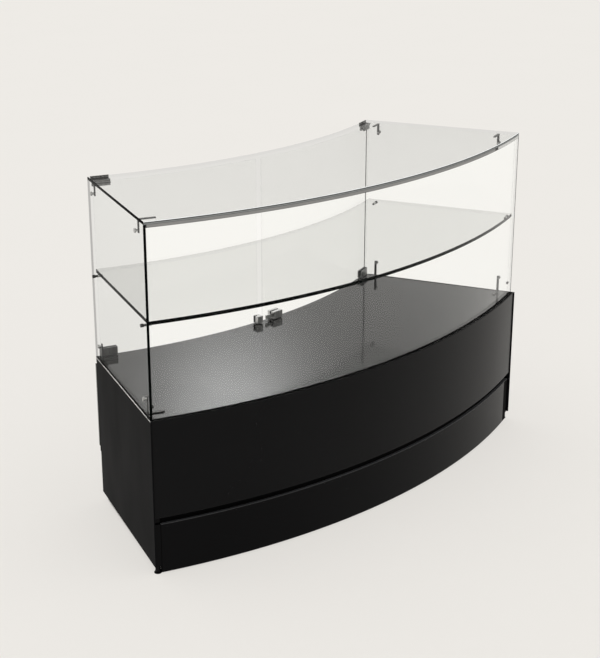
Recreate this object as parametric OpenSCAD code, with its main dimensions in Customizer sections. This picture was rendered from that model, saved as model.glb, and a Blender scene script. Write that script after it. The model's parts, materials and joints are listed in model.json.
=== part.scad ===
// Curved glass display cabinet on a gloss black base.
// The plan is a ring sector: a convex front, a concave rear and two flat radial ends.
// Units are millimetres. The origin is on the floor at the middle of the plan box, with +Z up,
// the convex front towards -Y and the doors towards +Y.

/* [Overall] */
// Width across the front corners of the two end claddings
cabinet_w = 1500; // [1300:10:1700]
// Height from the floor to the top face of the glass top
cabinet_h = 950; // [900:5:1050]
// Depth from the front panel's face to the rear edge, along a radius
cabinet_d = 510; // [460:5:580]
// Plan radius of the front panel's outer face
front_radius = 2020; // [1850:10:2600]

/* [Base] */
// Height of the deck's top face above the floor
deck_z = 434; // [400:1:480]
// Thickness of the deck
deck_t = 18; // [16:1:22]
// Thickness of the curved front panel
panel_t = 9; // [7:0.5:12]
// Height of the plinth's top edge above the floor
plinth_top = 143; // [110:1:170]
// Thickness of the plinth boards
plinth_t = 12; // [9:1:16]
// Setback of the plinth's face behind the front panel's face
plinth_setback = 2; // [1:0.5:12]
// Gap between the plinth and the floor
plinth_gap = 3.5; // [2:0.5:9]
// Least gap between the plinth and the front feet
foot_clear = 0.5; // [0.4:0.1:2]
// How far the carcass sides' toes stay behind the plinth's face
toe_back = 1; // [0.5:0.5:4]
// Setback of the rear plinth from the rear edge
rear_plinth_setback = 50; // [40:1:80]
// Height of the shadow groove between the plinth and the front panel
groove_h = 18; // [17:1:30]
// Thickness of the bottom board
board_t = 16; // [12:1:17]
// How far the bottom board lies over the plinth's top edge
board_lap = 3; // [1:0.5:5]
// Thickness of the carcass sides and the partition
side_t = 16; // [16:1:20]
// Thickness of the end claddings
clad_t = 3; // [2:0.5:5]
// How far the claddings stand before the front panel's face
clad_lip = 3; // [1:0.5:6]
// Height of the claddings' lower edge above the floor
clad_foot_gap = 22; // [18:1:30]

/* [Feet] */
// Diameter of a levelling foot's pad
pad_d = 20; // [16:1:24]
// Thickness of a levelling foot's pad
pad_h = 3; // [2:0.5:4.5]
// Diameter of a levelling foot's stem
stem_d = 8; // [6:0.5:9]
// Length of the front stems inside the carcass sides
stem_in = 26; // [24:1:40]
// Wood left above the rear stems in the bottom board
board_cover = 2; // [1.5:0.25:4]
// How far a foot can be screwed out
foot_travel = 12; // [8:1:14]
// Distance of the front feet's axes behind the front panel's face
foot_front_back = 13; // [12:0.5:50]
// Distance of the rear feet's axes before the rear plinth
foot_rear_fore = 20; // [16:1:40]
// Distance of the rear feet's axes from the ends' outer faces
foot_rear_in = 45; // [36:1:80]
// Height of the hexagon under the carcass side
hex_h = 6; // [4:0.5:8]
// Diameter of the hexagon across its corners
hex_d = 15; // [12:0.5:18]
// Diameter of the hidden middle legs
leg_d = 40; // [30:1:50]
// Diameter of the middle legs' pads
leg_pad_d = 56; // [50:1:70]
// Thickness of the middle legs' pads
leg_pad_h = 8; // [6:0.5:12]
// Angle of the middle legs from the centre line, in degrees
leg_angle = 8; // [5:0.5:11]
// Inset of the middle legs' axes from the front and rear plinths
leg_inset = 60; // [45:1:90]

/* [Glass] */
// Thickness of the front, side and door panes
glass_t = 6; // [5:0.5:8]
// Thickness of the glass top
top_t = 8; // [6:0.5:10]
// Thickness of the glass shelf
shelf_t = 10; // [6:0.5:12]
// Height of the shelf's underside above the deck
shelf_up = 249.5; // [180:0.5:320]
// Gap from the shelf to the front pane
shelf_front_gap = 2; // [1:0.5:10]
// Gap from the shelf to each side pane
shelf_side_gap = 2; // [1:0.5:6]
// Gap from the shelf to the glass doors
shelf_rear_gap = 4; // [3:0.5:15]

/* [Light] */
// Height of the light rail between the front pane and the top
rail_h = 7; // [6.5:0.5:12]
// Depth of the light rail
rail_d = 16; // [15:0.5:22]
// Width of the rail's downward channel
channel_w = 7; // [6.5:0.25:8]
// Depth of the rail's channel
channel_h = 4.5; // [4:0.25:5.25]
// Wall of the rail on the channel's inner side
rail_wall = 1.5; // [1:0.25:2]
// Length left between the rail's right end and the right side pane
rail_short = 190; // [100:5:300]
// Thickness of the rail's left end cap
cap_t = 3; // [2:0.5:6]
// Length of the dark cap that holds the feed at the rail's right end
feed_l = 22; // [8:1:40]
// Thickness of the diffuser
diffuser_t = 1.5; // [1:0.25:2]
// Thickness of the light strip
strip_t = 1; // [0.8:0.1:1.5]

/* [Glass doors] */
// Distance of the doors' mid surface before the rear edge
door_inset = 8; // [7.5:0.25:12]
// Gap between the two doors' meeting edges
door_gap = 20; // [14:1:24]
// Offset of the meeting gap's middle to the left of the centre line
meet_shift = 31; // [0:1:60]
// Gap between a side pane and a hinge clamp's round end
clamp_gap = 2.5; // [1.5:0.25:5]
// Length of the hinge clamps, from the pivot axis
clamp_l = 44; // [36:1:60]
// Thickness of the hinge clamps
clamp_t = 15; // [13.5:0.5:15]
// Height of the lower hinge clamps
low_clamp_h = 23; // [18:1:30]
// Height of the upper hinge clamps
high_clamp_h = 12.5; // [10:0.5:20]
// Floor of a clamp across the pane's edge
clamp_floor = 2; // [1.5:0.25:3]
// Diameter of the pivot pins
pivot_d = 6; // [4:0.5:7]
// Outer diameter of the pivot bushes
bush_d = 10; // [9:0.5:10.5]
// Depth of the lower pivot bush in the deck
bush_in = 9; // [7:0.5:10]
// Diameter of the lower pivot bush's flange
flange_d = 14; // [12:0.5:15]
// Thickness of the lower pivot bush's flange
flange_t = 2; // [1.5:0.25:3]
// Thickness of the fixed hinge plates under the top
ledge_t = 4; // [3:0.25:6]
// Thickness of the fixed hinge plates behind the top's rear edge
face_t = 3; // [2:0.25:4]
// Diameter of the grub screws in the clamps
grub_d = 4; // [3:0.5:5]

/* [Lock] */
// Width of the lock body
lock_w = 36; // [30:1:70]
// Distance from the right door's meeting edge to the lock body
lock_setback = 35; // [30:1:60]
// Height of the lock body and of the strike
lock_h = 22; // [20:1:40]
// Thickness of the lock body before the pane
lock_fore = 12; // [11:0.5:16]
// Thickness of the lock body behind the pane
lock_aft = 9; // [8:0.5:12]
// Width of the strike on the left door
strike_w = 20; // [16:1:60]
// How far the strike reaches past the left door's meeting edge
strike_over = 10; // [6:0.5:11]
// Thickness of the strike behind the pane
strike_aft = 3; // [2:0.5:4]
// Height of the bolt
bolt_h = 11; // [8:0.5:14]
// Thickness of the bolt
bolt_t = 4; // [3:0.25:4.5]
// Gap between the pane and the bolt's near face, at the lock's middle
bolt_off = 2; // [1.5:0.25:2.5]
// How far the drawn bolt stands out of the lock body
bolt_out = 28; // [20:1:32]
// How far the thrown bolt enters the strike
bolt_bite = 10; // [6:0.5:14]
// Diameter of the lock's turning plug
plug_d = 10; // [8:0.5:12]
// How far the plug stands out behind the lock body
plug_out = 1.5; // [1:0.25:3]
// Width of the key slot in the plug
key_w = 1.6; // [1:0.1:2.5]
// Height of the key slot in the plug
key_h = 6.5; // [5:0.5:7]
// Depth of the key slot in the plug
key_deep = 4; // [2:0.5:5]

/* [Storage doors] */
// Thickness of the two storage doors
store_t = 12; // [11:0.5:14]
// Gap above and below the storage doors
store_gap_z = 3; // [2.5:0.25:6]
// Gap between the two storage doors' meeting edges
store_gap = 5; // [4:0.5:10]
// Gap between the storage doors and the carcass's rear edges
store_play = 5; // [3:0.1:6]
// Diameter of the storage doors' pivot pins
store_pin_d = 4; // [3:0.5:4.5]
// Length of a pivot pin inside the door
store_pin_in = 20; // [14:1:30]
// Outer diameter of the storage doors' bushes
store_bush_d = 7; // [6.5:0.25:7.5]
// Diameter of the storage doors' bush flanges
store_flange_d = 10; // [8.5:0.5:11]
// Depth of the storage doors' bushes
store_bush_in = 7; // [5:0.5:8]
// Diameter of the pulls
pull_d = 22; // [16:1:30]
// Length of the pulls
pull_l = 22; // [16:1:30]
// Diameter of the pulls' necks
neck_d = 12; // [8:1:14]
// Distance of the pulls from the meeting edge
pull_in = 40; // [30:1:80]

/* [Brackets] */
// Width of the bracket bars
bar_w = 7; // [6:0.5:10]
// Thickness of the bracket bars
bar_t = 3; // [2:0.25:4]
// Height of the upper brackets' legs on the side panes
high_leg = 36; // [28:1:45]
// Height of the lower brackets' legs on the side panes
low_leg = 50; // [36:1:60]
// Length of the brackets' legs along the top or the deck
flat_leg = 46; // [36:1:60]
// Distance of the upper front brackets behind the front pane's face
high_front_back = 63; // [50:1:90]
// Distance of the lower front brackets behind the front pane's face
low_front_back = 42; // [36:1:60]
// Distance of the rear brackets before the rear edge
rear_fore = 42; // [36:1:70]
// Diameter of the bracket bolts and the shelf studs
bolt_d = 6; // [4:0.5:6.5]
// Diameter of the bolts' outer heads
head_d = 11; // [9:0.5:14]
// Thickness of the bolts' outer heads
head_t = 4; // [2:0.5:5]
// Distance of a bolt's axis from its leg's free end
bolt_end = 7; // [5:0.5:10]
// Diameter of the corner connectors
corner_d = 8; // [6:0.5:10]
// Length of the corner connectors
corner_l = 7; // [5:0.5:10]
// Height of the corner connectors above the deck
corner_up = 32; // [20:1:60]

/* [Shelf studs] */
// Distance of the front studs behind the front pane's face
stud_front_back = 26; // [22:1:60]
// Distance of the rear studs before the rear edge
stud_rear_fore = 35; // [25:1:60]
// Length of a stud inside the side pane
stud_in = 14; // [10:1:20]
// Length of a stud's outer button
button_l = 8; // [4:0.5:9]
// Diameter of a stud's outer button
button_d = 9; // [8:0.5:12]
// Wall of the soft sleeve on a stud
sleeve_t = 1; // [0.8:0.1:2]

/* [Clearances] */
// Gap between a curved face and a flat or curved piece that it lies on
seat_gap = 0.2; // [0.15:0.05:0.4]
// Gap around a pane in a clamp
pane_gap = 0.15; // [0.1:0.05:0.4]
// Diametral play of a pin in its bush or of a stem in its sleeve
run_play = 0.1; // [0.06:0.02:0.18]
// Diametral play of a bolt or stud in a drilled pane
drill_play = 0.5; // [0.3:0.1:1]
// Axial gap between a turning clamp and its fixed seat
seat_play = 0.5; // [0.3:0.1:1]
// Gap around the sliding bolt
bolt_play = 0.3; // [0.2:0.05:0.5]
// Step from a clamp's faces in to its round end
round_step = 0.5; // [0.3:0.1:1]
// Gap between a storage door's turning corner and the carcass
turn_gap = 0.3; // [0.2:0.05:0.5]

/* [Hidden] */

// Sides of the plan's large circles and of small round pieces
arc_fn = 720;
$fn = 48;
// Overlap of cutting tools past the faces they cut
eps = 1;

LEFT = -1;
RIGHT = 1;
ENDS = [LEFT, RIGHT];

// Colours of the finishes
BLACK = [0.06, 0.06, 0.065];
DARK = [0.12, 0.12, 0.125];
STEEL = [0.78, 0.78, 0.77];
GREY = [0.55, 0.55, 0.55];
PALE = [0.86, 0.85, 0.83];
GLASS = [0.82, 0.92, 0.9, 0.35];

// Plan geometry of the ring sector
half_angle = asin(cabinet_w / 2 / (front_radius + clad_lip));
rear_radius = front_radius - cabinet_d;
rear_corner = clad_t * sin(half_angle) + sqrt(rear_radius * rear_radius - clad_t * clad_t) * cos(half_angle);
arc_cy = (front_radius + rear_corner) / 2;

// Radii of the base
panel_in = front_radius - panel_t;
plinth_out = front_radius - plinth_setback;
plinth_in = plinth_out - plinth_t;
board_out = plinth_in + board_lap;
carcass_rear = rear_radius + store_t + store_play;
rear_plinth_in = rear_radius + rear_plinth_setback;

// Levels of the base
deck_under = deck_z - deck_t;
board_top = plinth_top + board_t;
panel_low = plinth_top + groove_h;

// Distances inwards from an end's outer face
carcass_in = clad_t + side_t;
pane_in = clad_t + glass_t;

// Radii and levels of the glass case
front_pane_in = panel_in - glass_t;
top_z = cabinet_h - top_t;
rail_z = top_z - rail_h;
rail_in = panel_in - rail_d;
channel_in = rail_in + rail_wall;
channel_out = channel_in + channel_w;
shelf_z = deck_z + shelf_up;

// Glass doors
door_mid = rear_radius + door_inset;
door_in = door_mid - glass_t / 2;
door_out = door_mid + glass_t / 2;
clamp_r = clamp_t / 2;
pivot_t = pane_in + clamp_gap + clamp_r;
clamp_end_r = clamp_r - round_step;
slot_half = glass_t / 2 + pane_gap;
door_edge_t = pivot_t - sqrt(clamp_end_r * clamp_end_r - slot_half * slot_half) + clamp_floor + pane_gap;
clamp_low_z = deck_z + flange_t + seat_play;
clamp_high_z = top_z - ledge_t - seat_play;
door_low_z = clamp_low_z + clamp_floor;
door_high_z = clamp_high_z - clamp_floor;
clamp_end_t = pivot_t + clamp_l;
shelf_in = door_out + shelf_rear_gap;

// Meeting edges, lock and strike as lengths along the doors' mid surface, left of centre negative
left_edge = -meet_shift - door_gap / 2;
right_edge = -meet_shift + door_gap / 2;
lock_s0 = right_edge + lock_setback;
lock_a = arc_deg(lock_s0 + lock_w / 2);
strike_s1 = left_edge + strike_over;
lock_z = clamp_low_z;
lock_mid_z = lock_z + lock_h / 2;
lock_out_r = door_out + lock_fore;
lock_in_r = door_in - lock_aft;
bolt_tip = lock_w / 2 + bolt_out;
bolt_throw = lock_s0 - bolt_out - strike_s1 + bolt_bite;
bolt_tail = lock_w / 2 - 2 * bolt_off;
bolt_r0 = door_out + bolt_off;

// Storage doors
store_pivot_t = clad_t + store_t / 2;
store_pivot_r = rear_radius + store_t / 2;
store_turn_r = store_t / 2 + store_play - turn_gap;
store_edge_t = max(seat_gap, store_pivot_t - sqrt(store_turn_r * store_turn_r - store_t * store_t / 4));
store_low_z = board_top + store_gap_z;
store_high_z = deck_under - store_gap_z;
store_flange_t = store_gap_z - seat_play;

// Radii of the brackets, studs and feet
bracket_rear_r = rear_radius + rear_fore;
bracket_high_r = panel_in - high_front_back;
bracket_low_r = panel_in - low_front_back;
stud_r = [panel_in - stud_front_back, rear_radius + stud_rear_fore];
stud_z = shelf_z - bolt_d / 2 - sleeve_t - seat_gap;
foot_t = clad_t + side_t / 2;
foot_front_r = front_radius - foot_front_back;
foot_front_top = clad_foot_gap + stem_in;
foot_rear_r = rear_plinth_in + plinth_t + foot_rear_fore;
foot_rear_top = board_top - board_cover;
plinth_end_t = max(carcass_in + seat_gap, foot_t + hex_d / 2 + foot_clear);
plinth_low = max(plinth_gap, pad_h + foot_clear);
foot_sleeve_d = stem_d + 3;
leg_r = [plinth_in - leg_inset, rear_plinth_in + plinth_t + leg_inset];

// Angle of an arc length along the doors' mid surface
function arc_deg(s) = s / door_mid * 180 / PI;

// Point at a distance along the ray at an angle, moved sideways by a shift
function ray_pt(a, shift, l) = [l * sin(a) + shift * cos(a), shift * sin(a) - l * cos(a)];

// Meeting edge's angle of a glass door, counted towards its own end
function meet_angle(side) = arc_deg(side == RIGHT ? right_edge : -left_edge);

// Distance of a clamp's grub screw from the end, for the first and second screw
function grub_t(k) = pivot_t + k * clamp_l / 3;

// Frame with its origin at the plan's arc centre
module arc_frame() {
  translate([0, arc_cy, 0]) children();
}

// Right-hand shape, or its mirror image at the left
module on_side(side) {
  arc_frame() mirror([side == LEFT ? 1 : 0, 0, 0]) children();
}

// Frame of an end: -X runs inwards from the outer face, -Y runs along the radius
module at_end(side) {
  on_side(side) rotate([0, 0, half_angle]) children();
}

// Frame of the lock: +X along the doors, -Y along the radius
module at_lock() {
  arc_frame() rotate([0, 0, lock_a]) children();
}

// Ring between two radii and two levels, bounded by two shifted rays
module curved_slab(r_in, r_out, z0, z1, a0, s0, a1, s1) {
  near = r_in / 2;
  far = 2 * r_out;
  intersection() {
    translate([0, 0, z0]) difference() {
      cylinder(r = r_out, h = z1 - z0, $fn = arc_fn);
      translate([0, 0, -eps]) cylinder(r = r_in, h = z1 - z0 + 2 * eps, $fn = arc_fn);
    }
    translate([0, 0, z0 - eps]) linear_extrude(z1 - z0 + 2 * eps)
      polygon([ray_pt(a0, s0, near), ray_pt(a0, s0, far), ray_pt(a1, s1, far), ray_pt(a1, s1, near)]);
  }
}

// Curved slab from end to end, held back from each end's outer face by t
module full_slab(r_in, r_out, z0, z1, t) {
  curved_slab(r_in, r_out, z0, z1, -half_angle, t, half_angle, -t);
}

// Curved slab at the right end between two distances from the outer face
module end_slab(r_in, r_out, z0, z1, t0, t1) {
  curved_slab(r_in, r_out, z0, z1, half_angle, -t1, half_angle, -t0);
}

// Curved slab between two arc lengths along the doors' mid surface
module span_slab(r_in, r_out, z0, z1, s0, s1) {
  curved_slab(r_in, r_out, z0, z1, arc_deg(s0), 0, arc_deg(s1), 0);
}

// Block in an end's frame
module end_box(t0, t1, r0, r1, z0, z1) {
  translate([-t1, -r1, z0]) cube([t1 - t0, r1 - r0, z1 - z0]);
}

// Upright round bar in an end's frame
module upright(t, r, d, z0, z1) {
  translate([-t, -r, z0]) cylinder(d = d, h = z1 - z0);
}

// Round bar across an end's panes
module cross_bar(t0, t1, r, z, d) {
  translate([-t1, -r, z]) rotate([0, 90, 0]) cylinder(d = d, h = t1 - t0);
}

// Round bar along the radius of the current frame
module radial_bar(x, r0, r1, z, d) {
  translate([x, -r0, z]) rotate([90, 0, 0]) cylinder(d = d, h = r1 - r0);
}

// Base boards

module side_cladding(side) {
  color(BLACK) at_end(side)
    end_box(0, clad_t, carcass_rear, front_radius + clad_lip, clad_foot_gap, deck_z);
}

module carcass_side(side) {
  front = panel_in - seat_gap;
  toe = plinth_out - toe_back;
  color(BLACK) at_end(side) difference() {
    union() {
      end_box(clad_t, carcass_in, carcass_rear, front, clad_foot_gap, deck_under);
      end_box(clad_t, carcass_in, carcass_rear, toe, clad_foot_gap, plinth_top);
    }
    upright(foot_t, foot_front_r, foot_sleeve_d, clad_foot_gap - eps, foot_front_top + seat_play);
  }
}

module bottom_board() {
  strip = carcass_rear - seat_gap;
  color(BLACK) arc_frame() difference() {
    union() {
      full_slab(store_pivot_r, board_out, plinth_top, board_top, carcass_in + seat_gap);
      full_slab(rear_radius, strip, plinth_top, board_top, clad_t);
    }
    for (side = ENDS) mirror([side == LEFT ? 1 : 0, 0, 0]) rotate([0, 0, half_angle]) {
      upright(store_pivot_t, store_pivot_r, store_bush_d, board_top - store_bush_in, board_top + eps);
      upright(foot_rear_in, foot_rear_r, foot_sleeve_d, plinth_top - eps, foot_rear_top + seat_play);
    }
  }
}

module centre_partition() {
  color(BLACK) arc_frame()
    end_box(-side_t / 2, side_t / 2, carcass_rear, panel_in - seat_gap, board_top, deck_under);
}

module deck() {
  color(BLACK) arc_frame() difference() {
    full_slab(rear_radius, panel_in - seat_gap, deck_under, deck_z, clad_t);
    for (side = ENDS) mirror([side == LEFT ? 1 : 0, 0, 0]) rotate([0, 0, half_angle]) {
      upright(pivot_t, door_mid, bush_d, deck_z - bush_in, deck_z + eps);
      upright(store_pivot_t, store_pivot_r, store_bush_d, deck_under - eps, deck_under + store_bush_in);
    }
  }
}

module front_panel() {
  color(BLACK) arc_frame() full_slab(panel_in, front_radius, panel_low, deck_z, clad_t);
}

module plinth_front() {
  color(BLACK) arc_frame() full_slab(plinth_in, plinth_out, plinth_low, plinth_top, plinth_end_t);
}

module plinth_rear() {
  color(BLACK) arc_frame() full_slab(rear_plinth_in, rear_plinth_in + plinth_t, plinth_gap, plinth_top,
    carcass_in + seat_gap);
}

// Feet and legs

module plinth_legs() {
  color(DARK) arc_frame() for (a = [-leg_angle, leg_angle], r = leg_r) rotate([0, 0, a]) {
    upright(0, r, leg_d, 0, plinth_top);
    upright(0, r, leg_pad_d, 0, leg_pad_h);
  }
}

module levelling_foot(side, t, r, top) {
  color(DARK) at_end(side) {
    upright(t, r, pad_d, 0, pad_h);
    upright(t, r, stem_d, 0, top);
    translate([-t, -r, pad_h]) cylinder(d = hex_d, h = hex_h, $fn = 6);
  }
}

module foot_sleeve(t, r, z0, z1) {
  difference() {
    upright(t, r, foot_sleeve_d, z0, z1);
    upright(t, r, stem_d + run_play, z0 - eps, z1 + eps);
  }
}

module foot_sleeves() {
  color(STEEL) for (side = ENDS) at_end(side) {
    foot_sleeve(foot_t, foot_front_r, clad_foot_gap, foot_front_top);
    foot_sleeve(foot_rear_in, foot_rear_r, plinth_top, foot_rear_top);
  }
}

// Panes

module glass_top() {
  color(GLASS) arc_frame() full_slab(rear_radius, panel_in, top_z, cabinet_h, clad_t);
}

module glass_front() {
  color(GLASS) arc_frame() full_slab(front_pane_in, panel_in, deck_z, rail_z, pane_in);
}

module glass_side(side) {
  hole = bolt_d + drill_play;
  color(GLASS) at_end(side) difference() {
    end_box(clad_t, pane_in, rear_radius, panel_in, deck_z, top_z);
    for (r = stud_r) cross_bar(clad_t - eps, pane_in + eps, r, stud_z, hole);
    for (r = [bracket_high_r, bracket_rear_r])
      cross_bar(clad_t - eps, pane_in + eps, r, top_z - high_leg + bolt_end, hole);
    for (r = [bracket_low_r, bracket_rear_r])
      cross_bar(clad_t - eps, pane_in + eps, r, deck_z + low_leg - bolt_end, hole);
  }
}

module glass_shelf() {
  color(GLASS) arc_frame() full_slab(shelf_in, front_pane_in - shelf_front_gap, shelf_z, shelf_z + shelf_t,
    pane_in + shelf_side_gap);
}

// Light under the front edge of the top

module rail_span(r_in, r_out, z0, z1, t_left, t_right) {
  curved_slab(r_in, r_out, z0, z1, -half_angle, t_left, half_angle, -t_right);
}

module light_rail() {
  left = pane_in + cap_t;
  right = pane_in + rail_short + feed_l;
  color(GREY) arc_frame() difference() {
    rail_span(rail_in, panel_in, rail_z, top_z, left, right);
    rail_span(channel_in, channel_out, rail_z - eps, rail_z + channel_h, left - eps, right - eps);
  }
}

module light_end_caps() {
  color(DARK) arc_frame() {
    curved_slab(rail_in, panel_in, rail_z, top_z, -half_angle, pane_in, -half_angle, pane_in + cap_t);
    end_slab(rail_in, panel_in, rail_z, top_z, pane_in + rail_short, pane_in + rail_short + feed_l);
  }
}

module light_filler() {
  color(PALE) arc_frame() end_slab(front_pane_in, panel_in, rail_z, top_z, pane_in, pane_in + rail_short);
}

module light_strip() {
  side = (channel_w - 2 * rail_wall) / 2;
  mid = (channel_in + channel_out) / 2;
  color(PALE) arc_frame() rail_span(mid - side, mid + side, rail_z + channel_h - strip_t, rail_z + channel_h,
    pane_in + 2 * cap_t, pane_in + rail_short + feed_l + cap_t);
}

module light_diffuser() {
  color(PALE) arc_frame() rail_span(channel_in + pane_gap, channel_out - pane_gap, rail_z + pane_gap,
    rail_z + pane_gap + diffuser_t, pane_in + cap_t + pane_gap, pane_in + rail_short + feed_l + pane_gap);
}

// Studs, brackets and bolts

module shelf_studs() {
  color(STEEL) for (side = ENDS, r = stud_r) at_end(side) {
    cross_bar(clad_t - eps, pane_in + stud_in, r, stud_z, bolt_d);
    cross_bar(clad_t - button_l, clad_t, r, stud_z, button_d);
  }
}

module stud_sleeves() {
  inner = bolt_d + run_play;
  color(PALE) for (side = ENDS, r = stud_r) at_end(side) difference() {
    cross_bar(pane_in, pane_in + stud_in, r, stud_z, bolt_d + 2 * sleeve_t);
    cross_bar(pane_in - eps, pane_in + stud_in + eps, r, stud_z, inner);
  }
}

// Angle bracket between a side pane and a horizontal face, drilled for its bolt
module bracket(r, z_flat, leg, up) {
  z_end = z_flat + up * leg;
  z_bar = z_flat + up * bar_t;
  r0 = r - bar_w / 2;
  r1 = r + bar_w / 2;
  difference() {
    union() {
      end_box(pane_in, pane_in + bar_t, r0, r1, min(z_flat, z_end), max(z_flat, z_end));
      end_box(pane_in, pane_in + flat_leg, r0, r1, min(z_flat, z_bar), max(z_flat, z_bar));
    }
    cross_bar(pane_in - eps, pane_in + bar_t + eps, r, z_end - up * bolt_end, bolt_d);
  }
}

module bracket_set(side) {
  color(STEEL) at_end(side) {
    for (r = [bracket_high_r, bracket_rear_r]) bracket(r, top_z, high_leg, -1);
    for (r = [bracket_low_r, bracket_rear_r]) bracket(r, deck_z, low_leg, 1);
  }
}

module pane_bolt(r, z) {
  cross_bar(clad_t - eps, pane_in + bar_t, r, z, bolt_d);
  cross_bar(clad_t - head_t, clad_t, r, z, head_d);
}

module bracket_bolts() {
  color(STEEL) for (side = ENDS) at_end(side) {
    for (r = [bracket_high_r, bracket_rear_r]) pane_bolt(r, top_z - high_leg + bolt_end);
    for (r = [bracket_low_r, bracket_rear_r]) pane_bolt(r, deck_z + low_leg - bolt_end);
  }
}

module corner_connectors() {
  r = front_pane_in - corner_d / 2 - seat_gap;
  color(STEEL) for (side = ENDS) at_end(side)
    cross_bar(pane_in, pane_in + corner_l, r, deck_z + corner_up, corner_d);
}

// Hinges of the glass doors

module hinge_plate(side) {
  t0 = pane_in + clamp_gap;
  color(STEEL) on_side(side) difference() {
    union() {
      end_slab(rear_radius, door_mid + clamp_r, top_z - ledge_t, top_z, t0, clamp_end_t);
      end_slab(rear_radius - face_t, rear_radius, top_z - ledge_t, cabinet_h, t0, clamp_end_t);
    }
    rotate([0, 0, half_angle]) upright(pivot_t, door_mid, bush_d, top_z - ledge_t - eps, top_z + eps);
  }
}

module deck_bushes() {
  color(DARK) for (side = ENDS) at_end(side) difference() {
    union() {
      upright(pivot_t, door_mid, bush_d, deck_z - bush_in, deck_z);
      upright(pivot_t, door_mid, flange_d, deck_z, deck_z + flange_t);
    }
    upright(pivot_t, door_mid, pivot_d + run_play, deck_z - bush_in + clamp_floor, deck_z + flange_t + eps);
  }
}

module plate_bushes() {
  color(DARK) for (side = ENDS) at_end(side) difference() {
    upright(pivot_t, door_mid, bush_d, top_z - ledge_t, top_z);
    upright(pivot_t, door_mid, pivot_d + run_play, top_z - ledge_t - eps, top_z + eps);
  }
}

module glass_door(side) {
  color(GLASS) on_side(side) curved_slab(door_in, door_out, door_low_z, door_high_z,
    meet_angle(side), 0, half_angle, -door_edge_t);
}

// Slot for a door's pane, in the right-hand frame
module pane_slot(side, z0, z1) {
  curved_slab(door_in - pane_gap, door_out + pane_gap, z0, z1,
    meet_angle(side) - arc_deg(pane_gap), 0, half_angle, pane_gap - door_edge_t);
}

// Holes and screws of a clamp at a third and two thirds of its length, through its rear jaw. They run
// parallel to the end, so a tip that may reach a radius stops short of it by its offset from the ray
module clamp_grubs(z, d, r0, reach) {
  for (k = [1, 2]) rotate([0, 0, half_angle])
    radial_bar(-grub_t(k), r0, sqrt(pow(reach, 2) - pow(grub_t(k) + d / 2, 2)), z, d);
}

// Clamp round a door's edge with its pivot pin, between two levels
module hinge_clamp(side, z0, z1, slot0, slot1, pin0, pin1) {
  color(STEEL) on_side(side) difference() {
    union() {
      end_slab(door_mid - clamp_r, door_mid + clamp_r, z0, z1, pivot_t, clamp_end_t);
      rotate([0, 0, half_angle]) upright(pivot_t, door_mid, 2 * clamp_end_r, z0, z1);
      rotate([0, 0, half_angle]) upright(pivot_t, door_mid, pivot_d, pin0, pin1);
    }
    pane_slot(side, slot0, slot1);
    clamp_grubs((z0 + z1) / 2, grub_d, door_mid - clamp_r - eps, door_mid);
  }
}

module clamp_low(side) {
  hinge_clamp(side, clamp_low_z, clamp_low_z + low_clamp_h, door_low_z - pane_gap,
    clamp_low_z + low_clamp_h + eps, deck_z - bush_in + clamp_floor + seat_play, clamp_low_z + eps);
}

module clamp_high(side) {
  hinge_clamp(side, clamp_high_z - high_clamp_h, clamp_high_z, clamp_high_z - high_clamp_h - eps,
    door_high_z + pane_gap, clamp_high_z - eps, top_z - seat_play);
}

module clamp_screws(side) {
  r0 = door_mid - clamp_r + seat_gap;
  r1 = door_in - pane_gap;
  color(DARK) on_side(side) {
    clamp_grubs(clamp_low_z + low_clamp_h / 2, grub_d, r0, r1);
    clamp_grubs(clamp_high_z - high_clamp_h / 2, grub_d, r0, r1);
  }
}

// Lock on the right glass door and strike on the left one

// Space that the bolt sweeps in the lock's frame, between two places along it
module bolt_space(x0, x1, play) {
  translate([x0, -bolt_r0 - bolt_t - play, lock_mid_z - bolt_h / 2 - play])
    cube([x1 - x0, bolt_t + 2 * play, bolt_h + 2 * play]);
}

module lock_body() {
  color(STEEL) difference() {
    arc_frame() span_slab(lock_in_r, lock_out_r, lock_z, lock_z + lock_h, lock_s0, lock_s0 + lock_w);
    on_side(RIGHT) pane_slot(RIGHT, door_low_z - pane_gap, lock_z + lock_h + eps);
    at_lock() bolt_space(-lock_w, bolt_tail + bolt_play, bolt_play);
    at_lock() radial_bar(0, lock_in_r - eps, door_in, lock_mid_z, plug_d + run_play);
  }
}

module lock_plug() {
  r0 = lock_in_r - plug_out;
  color(DARK) at_lock() difference() {
    radial_bar(0, r0, door_in - seat_play, lock_mid_z, plug_d);
    translate([-key_w / 2, -r0 - key_deep, lock_mid_z - key_h / 2]) cube([key_w, key_deep + eps, key_h]);
  }
}

module lock_bolt() {
  color(STEEL) at_lock() bolt_space(-bolt_tip, bolt_tail, 0);
}

module strike() {
  color(STEEL) difference() {
    arc_frame() span_slab(door_in - strike_aft, lock_out_r, lock_z, lock_z + lock_h,
      strike_s1 - strike_w, strike_s1);
    on_side(LEFT) pane_slot(LEFT, door_low_z - pane_gap, lock_z + lock_h + eps);
    at_lock() bolt_space(-bolt_tip - bolt_throw - bolt_play, -lock_w, bolt_play);
  }
}

// Storage doors

module storage_bushes() {
  color(DARK) for (side = ENDS) at_end(side) difference() {
    union() {
      upright(store_pivot_t, store_pivot_r, store_bush_d, board_top - store_bush_in, board_top);
      upright(store_pivot_t, store_pivot_r, store_flange_d, board_top, board_top + store_flange_t);
      upright(store_pivot_t, store_pivot_r, store_bush_d, deck_under, deck_under + store_bush_in);
      upright(store_pivot_t, store_pivot_r, store_flange_d, deck_under - store_flange_t, deck_under);
    }
    upright(store_pivot_t, store_pivot_r, store_pin_d + run_play, board_top - store_bush_in - eps,
      deck_under + store_bush_in + eps);
  }
}

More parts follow.
